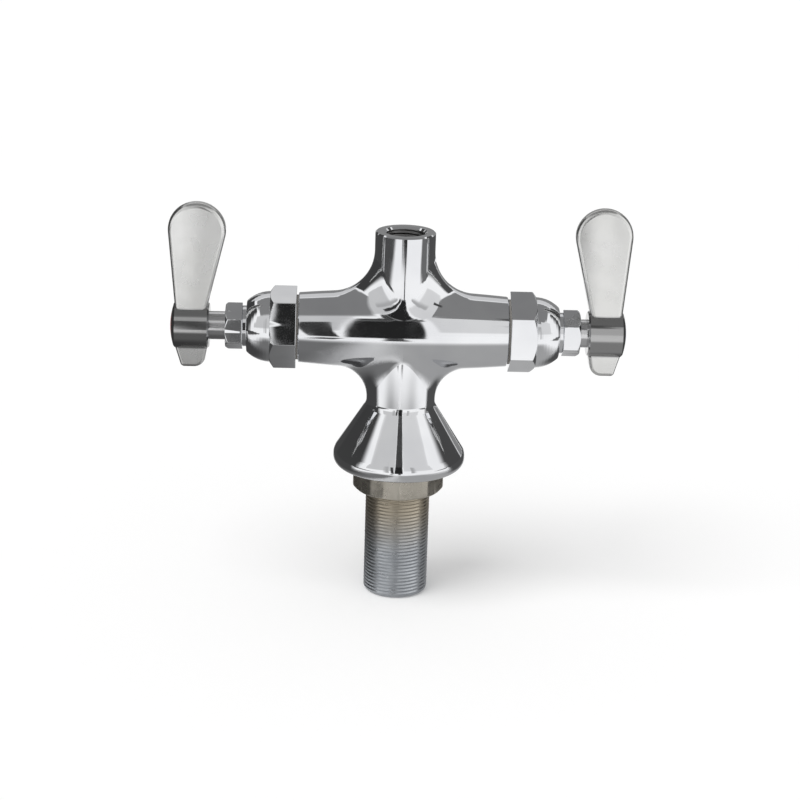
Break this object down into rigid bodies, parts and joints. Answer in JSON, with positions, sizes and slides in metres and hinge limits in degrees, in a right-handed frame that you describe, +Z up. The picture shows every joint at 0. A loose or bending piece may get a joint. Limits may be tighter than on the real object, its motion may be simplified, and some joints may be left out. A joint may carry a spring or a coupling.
{
  "type": "twin-lever basin mixing tap",
  "caption": "Single-hole basin mixing tap with twin levers on rising-stem compression valves, an open outlet socket on top and a threaded shank below.",
  "frame": {"origin": "centre of the flange's underside, where the shank's axis meets the deck", "axes": "+Z up along the shank's axis and out of the outlet; +X along the arms to the cold valve, so the hot valve is at -X; -Y towards the user"},
  "size_m": [0.1782, 0.052, 0.1578],
  "materials": {
    "chrome_body": "bright chrome plate on cast and turned brass",
    "chrome_lever": "chrome plate on cast metal",
    "chrome_stem": "chrome plate on turned brass",
    "shank_plate": "dull nickel plate on threaded brass",
    "nut_plate": "dull nickel plate on brass",
    "plain_brass": "turned brass",
    "screw_steel": "turned stainless steel",
    "rubber": "black moulded rubber",
    "fibre": "vulcanised fibre",
    "packing": "PTFE",
    "button_red": "red plastic",
    "button_blue": "blue plastic"
  },
  "bodies": {
    "body": {"body_casting": "chrome_body", "shank": "shank_plate", "base_gasket": "rubber", "lock_nut": "nut_plate", "left_bonnet": "chrome_body", "left_seat": "plain_brass", "left_bonnet_washer": "fibre", "left_packing_washer": "plain_brass", "left_packing_ring": "packing", "left_packing_nut": "chrome_body", "right_bonnet": "chrome_body", "right_seat": "plain_brass", "right_bonnet_washer": "fibre", "right_packing_washer": "plain_brass", "right_packing_ring": "packing", "right_packing_nut": "chrome_body"},
    "left_disc": {"left_disc_holder": "plain_brass", "left_seat_washer": "rubber", "left_washer_screw": "screw_steel"},
    "left_handle": {"left_stem": "chrome_stem", "left_lever_handle": "chrome_lever", "left_handle_screw": "screw_steel", "left_index_button": "button_red"},
    "right_disc": {"right_disc_holder": "plain_brass", "right_seat_washer": "rubber", "right_washer_screw": "screw_steel"},
    "right_handle": {"right_stem": "chrome_stem", "right_lever_handle": "chrome_lever", "right_handle_screw": "screw_steel", "right_index_button": "button_blue"}
  },
  "joints": [
    {"name": "left_lift", "type": "slide", "parent": "body", "child": "left_disc", "axis": [-1, 0, 0], "range_m": [-0.00318, 0.00079]},
    {"name": "left_turn", "type": "hinge", "parent": "left_disc", "child": "left_handle", "pos_m": [-0.08, 0, 0.0552], "axis": [1, 0, 0], "range_deg": [-360, 90]},
    {"name": "right_lift", "type": "slide", "parent": "body", "child": "right_disc", "axis": [1, 0, 0], "range_m": [0, 0.00397]},
    {"name": "right_turn", "type": "hinge", "parent": "right_disc", "child": "right_handle", "pos_m": [0.08, 0, 0.0552], "axis": [1, 0, 0], "range_deg": [0, 450]}
  ],
  "couplings": [
    {"joint": "left_lift", "follows": "left_turn", "m_per_rad": 0.00050532},
    {"joint": "right_lift", "follows": "right_turn", "m_per_rad": 0.00050532}
  ]
}
